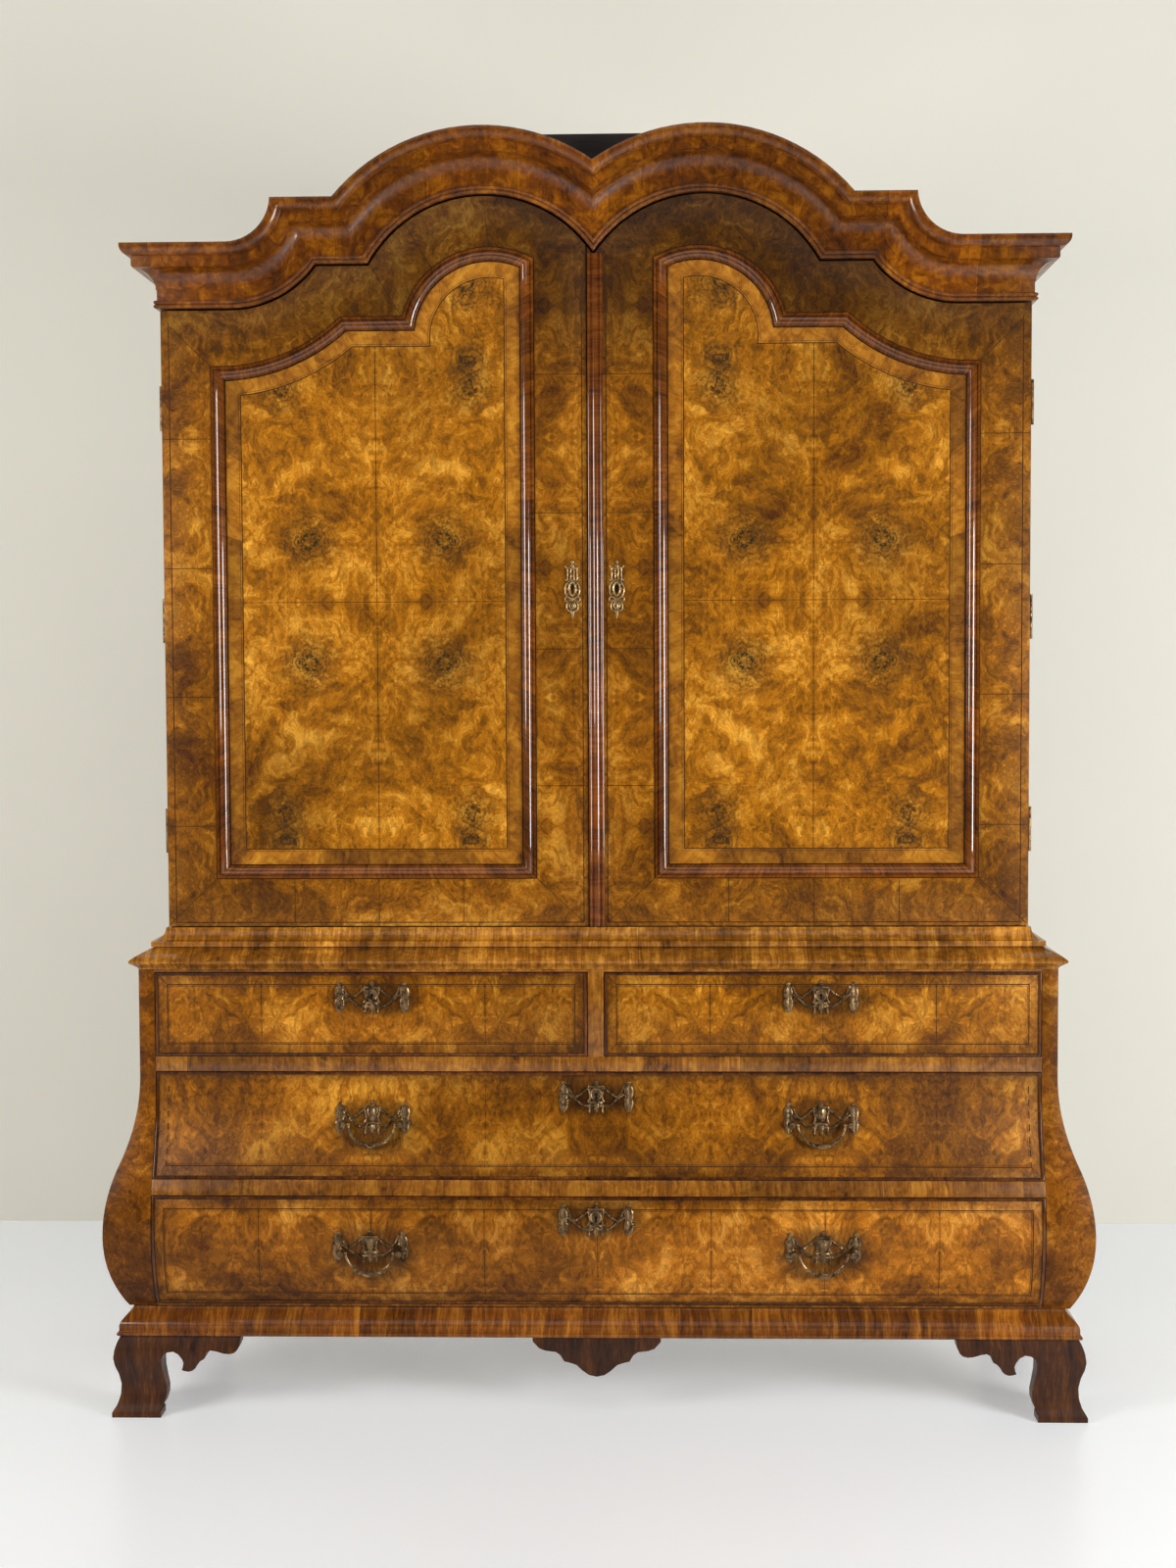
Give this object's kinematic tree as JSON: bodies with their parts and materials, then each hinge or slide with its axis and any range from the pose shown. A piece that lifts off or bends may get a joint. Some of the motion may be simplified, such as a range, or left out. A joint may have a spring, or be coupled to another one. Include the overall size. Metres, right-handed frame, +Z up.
{
  "type": "bombe walnut cabinet",
  "caption": "Two-part walnut cabinet: arched doors under a double-domed cornice, on a bombe chest of drawers with swagged brass handles and bracket feet.",
  "frame": {"origin": "on the floor, under the middle of the overall bounding box", "axes": "+Z up, -Y out of the front (doors and drawers), +X to the right seen from the front"},
  "size_m": [1.842, 0.6358, 2.3938],
  "materials": {
    "burr_walnut": "French-polished burr walnut veneer",
    "dark_walnut": "polished walnut",
    "oak": "unfinished oak",
    "old_brass": "dark patinated brass",
    "rubbed_brass": "rubbed brass"
  },
  "bodies": {
    "case": {"foot_front_left": "dark_walnut", "foot_front_right": "dark_walnut", "back_feet": "dark_walnut", "apron_pendant": "dark_walnut", "base_moulding": "dark_walnut", "lower_side_left": "burr_walnut", "lower_side_right": "burr_walnut", "lower_bottom": "oak", "lower_back": "oak", "lower_top": "oak", "drawer_rails": "dark_walnut", "drawer_divider": "dark_walnut", "drawer_runners": "oak", "waist_moulding": "dark_walnut", "cavetto_moulding": "dark_walnut", "upper_bottom_rail": "dark_walnut", "upper_side_left": "burr_walnut", "upper_side_right": "burr_walnut", "upper_bottom": "oak", "upper_back": "oak", "upper_roof": "oak", "cornice_board": "dark_walnut", "cornice_moulding": "dark_walnut", "cornice_astragal": "dark_walnut", "shelves": "oak", "shelf_battens": "oak", "case_hinge_leaves": "old_brass"},
    "left_door": {"left_door_frame": "burr_walnut", "left_door_panel": "burr_walnut", "left_door_moulding": "dark_walnut", "left_door_escutcheon": "rubbed_brass", "left_door_hinge_leaves": "old_brass"},
    "right_door": {"right_door_frame": "burr_walnut", "right_door_panel": "burr_walnut", "right_door_moulding": "dark_walnut", "right_door_escutcheon": "rubbed_brass", "right_door_hinge_leaves": "old_brass", "centre_strip": "dark_walnut", "door_lock": "old_brass"},
    "left_small_drawer": {"left_small_drawer_front": "burr_walnut", "left_small_drawer_box": "oak", "left_small_drawer_plate": "old_brass", "drawer_beads_small_left": "dark_walnut"},
    "right_small_drawer": {"right_small_drawer_front": "burr_walnut", "right_small_drawer_box": "oak", "right_small_drawer_plate": "old_brass", "drawer_beads_small_right": "dark_walnut"},
    "middle_drawer": {"middle_drawer_front": "burr_walnut", "middle_drawer_box": "oak", "middle_drawer_plates": "old_brass", "drawer_bead_middle": "dark_walnut"},
    "bottom_drawer": {"bottom_drawer_front": "burr_walnut", "bottom_drawer_box": "oak", "bottom_drawer_plates": "old_brass", "drawer_bead_bottom": "dark_walnut"},
    "middle_left_handle": {"middle_left_bail": "old_brass"},
    "middle_right_handle": {"middle_right_bail": "old_brass"},
    "bottom_left_handle": {"bottom_left_bail": "old_brass"},
    "bottom_right_handle": {"bottom_right_bail": "old_brass"}
  },
  "joints": [
    {"name": "left_door_hinge", "type": "hinge", "parent": "case", "child": "left_door", "pos_m": [-0.817, -0.1686, 1.514], "axis": [0, 0, -1], "range_deg": [0, 150]},
    {"name": "right_door_hinge", "type": "hinge", "parent": "case", "child": "right_door", "pos_m": [0.817, -0.1686, 1.514], "axis": [0, 0, 1], "range_deg": [0, 150]},
    {"name": "left_small_drawer_slide", "type": "slide", "parent": "case", "child": "left_small_drawer", "axis": [0, -1, 0], "range_m": [0, 0.4]},
    {"name": "right_small_drawer_slide", "type": "slide", "parent": "case", "child": "right_small_drawer", "axis": [0, -1, 0], "range_m": [0, 0.4]},
    {"name": "middle_drawer_slide", "type": "slide", "parent": "case", "child": "middle_drawer", "axis": [0, -1, 0], "range_m": [0, 0.4]},
    {"name": "bottom_drawer_slide", "type": "slide", "parent": "case", "child": "bottom_drawer", "axis": [0, -1, 0], "range_m": [0, 0.4]},
    {"name": "middle_left_bail_pivot", "type": "hinge", "parent": "middle_drawer", "child": "middle_left_handle", "pos_m": [-0.42, -0.26284, 0.55076], "axis": [-1, 0, 0], "range_deg": [0, 90]},
    {"name": "middle_right_bail_pivot", "type": "hinge", "parent": "middle_drawer", "child": "middle_right_handle", "pos_m": [0.42, -0.26284, 0.55076], "axis": [-1, 0, 0], "range_deg": [0, 90]},
    {"name": "bottom_left_bail_pivot", "type": "hinge", "parent": "bottom_drawer", "child": "bottom_left_handle", "pos_m": [-0.42, -0.3129, 0.31972], "axis": [-1, 0, 0], "range_deg": [0, 90]},
    {"name": "bottom_right_bail_pivot", "type": "hinge", "parent": "bottom_drawer", "child": "bottom_right_handle", "pos_m": [0.42, -0.3129, 0.31972], "axis": [-1, 0, 0], "range_deg": [0, 90]}
  ]
}
